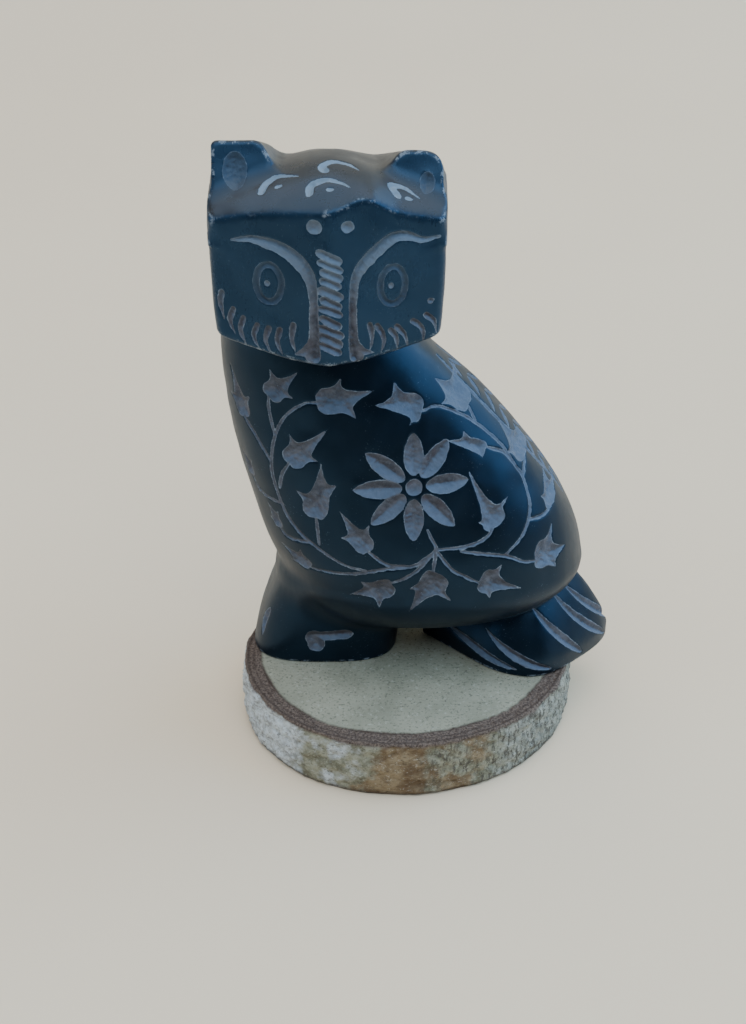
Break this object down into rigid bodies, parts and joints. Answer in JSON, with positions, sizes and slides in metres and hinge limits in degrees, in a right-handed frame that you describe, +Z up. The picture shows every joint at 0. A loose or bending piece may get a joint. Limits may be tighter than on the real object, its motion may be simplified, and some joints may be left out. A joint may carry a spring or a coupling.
{
  "type": "soapstone owl figurine on a birch slice",
  "caption": "Small owl carved from dyed soapstone with engraved vine and flower ornament, standing on a round slice of birch branch.",
  "frame": {"origin": "centre of the birch slice's flat underside", "axes": "+Z up, -Y where the owl's face looks, +X towards its tail and -X towards its breast"},
  "size_m": [0.0623, 0.0522, 0.0978],
  "materials": {
    "dyed_soapstone": "polished near-black dyed soapstone, with the engraved ornament left raw, matt and grey-taupe",
    "birch_wood": "sawn pale end grain inside a dark bark ring, with mottled cream, grey and brown bark on the side"
  },
  "bodies": {
    "root": {"soapstone_owl": "dyed_soapstone", "birch_slice": "birch_wood"}
  },
  "joints": []
}
